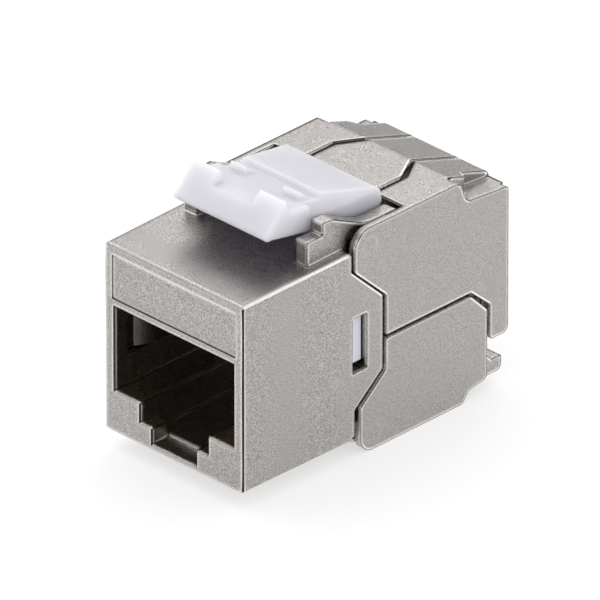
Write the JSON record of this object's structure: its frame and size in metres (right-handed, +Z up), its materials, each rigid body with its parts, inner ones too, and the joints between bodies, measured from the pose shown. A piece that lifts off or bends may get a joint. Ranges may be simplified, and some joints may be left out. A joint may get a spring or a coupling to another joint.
{
  "type": "keystone jack",
  "caption": "Shielded toolless keystone jack: cast metal housing with a modular port, plastic latch clip on top, hinged rear wings that close over the wire contacts.",
  "frame": {"origin": "middle of the bounding box in plan, at the height the closed jack lies on", "axes": "+X to the right seen from the port, +Y from the port face towards the cable end, +Z up, towards the latch"},
  "size_m": [0.0152, 0.0288, 0.0234],
  "materials": {
    "nickel_casting": "bead-blasted nickel plate over a zinc casting, warm grey",
    "steel": "plain bright steel",
    "latch_plastic": "white satin moulding",
    "dark_plastic": "dark satin moulding",
    "white_plastic": "white satin moulding",
    "gold_contact": "gold-plated spring wire",
    "tinned_contact": "tin-plated bronze sheet",
    "board": "green solder resist"
  },
  "bodies": {
    "housing": {"front_housing": "nickel_casting", "upper_swing_pin_left": "steel", "upper_swing_pin_right": "steel", "lower_swing_pin_left": "steel", "lower_swing_pin_right": "steel", "jack_insert": "dark_plastic", "port_contact_1": "gold_contact", "port_contact_2": "gold_contact", "port_contact_3": "gold_contact", "port_contact_4": "gold_contact", "port_contact_5": "gold_contact", "port_contact_6": "gold_contact", "port_contact_7": "gold_contact", "port_contact_8": "gold_contact", "circuit_board": "board", "wire_block": "white_plastic", "upper_idc_contact_1": "tinned_contact", "upper_idc_contact_2": "tinned_contact", "upper_idc_contact_3": "tinned_contact", "upper_idc_contact_4": "tinned_contact", "lower_idc_contact_1": "tinned_contact", "lower_idc_contact_2": "tinned_contact", "lower_idc_contact_3": "tinned_contact", "lower_idc_contact_4": "tinned_contact", "wire_guide": "white_plastic", "shield_spring_left": "steel", "shield_spring_right": "steel"},
    "upper_wing": {"upper_wing": "nickel_casting", "centre_panel": "nickel_casting", "upper_stuffer": "white_plastic"},
    "lower_wing": {"lower_wing": "nickel_casting", "lower_stuffer": "white_plastic"},
    "latch": {"latch_clip": "latch_plastic"}
  },
  "joints": [
    {"name": "upper_wing_hinge", "type": "hinge", "parent": "housing", "child": "upper_wing", "pos_m": [0, -0.0007, 0.0179], "axis": [1, 0, 0], "range_deg": [0, 60]},
    {"name": "lower_wing_hinge", "type": "hinge", "parent": "housing", "child": "lower_wing", "pos_m": [0, -0.00035, 0.0014], "axis": [1, 0, 0], "range_deg": [-60, 0]},
    {"name": "latch_hinge", "type": "hinge", "parent": "housing", "child": "latch", "pos_m": [0, 0.0024, 0.0182], "axis": [1, 0, 0], "range_deg": [0, 10], "stiffness_Nm_per_rad": 0.3, "springref_deg": -2.86}
  ],
  "couplings": [
    {"joint": "lower_wing_hinge", "follows": "upper_wing_hinge", "ratio": -1}
  ]
}
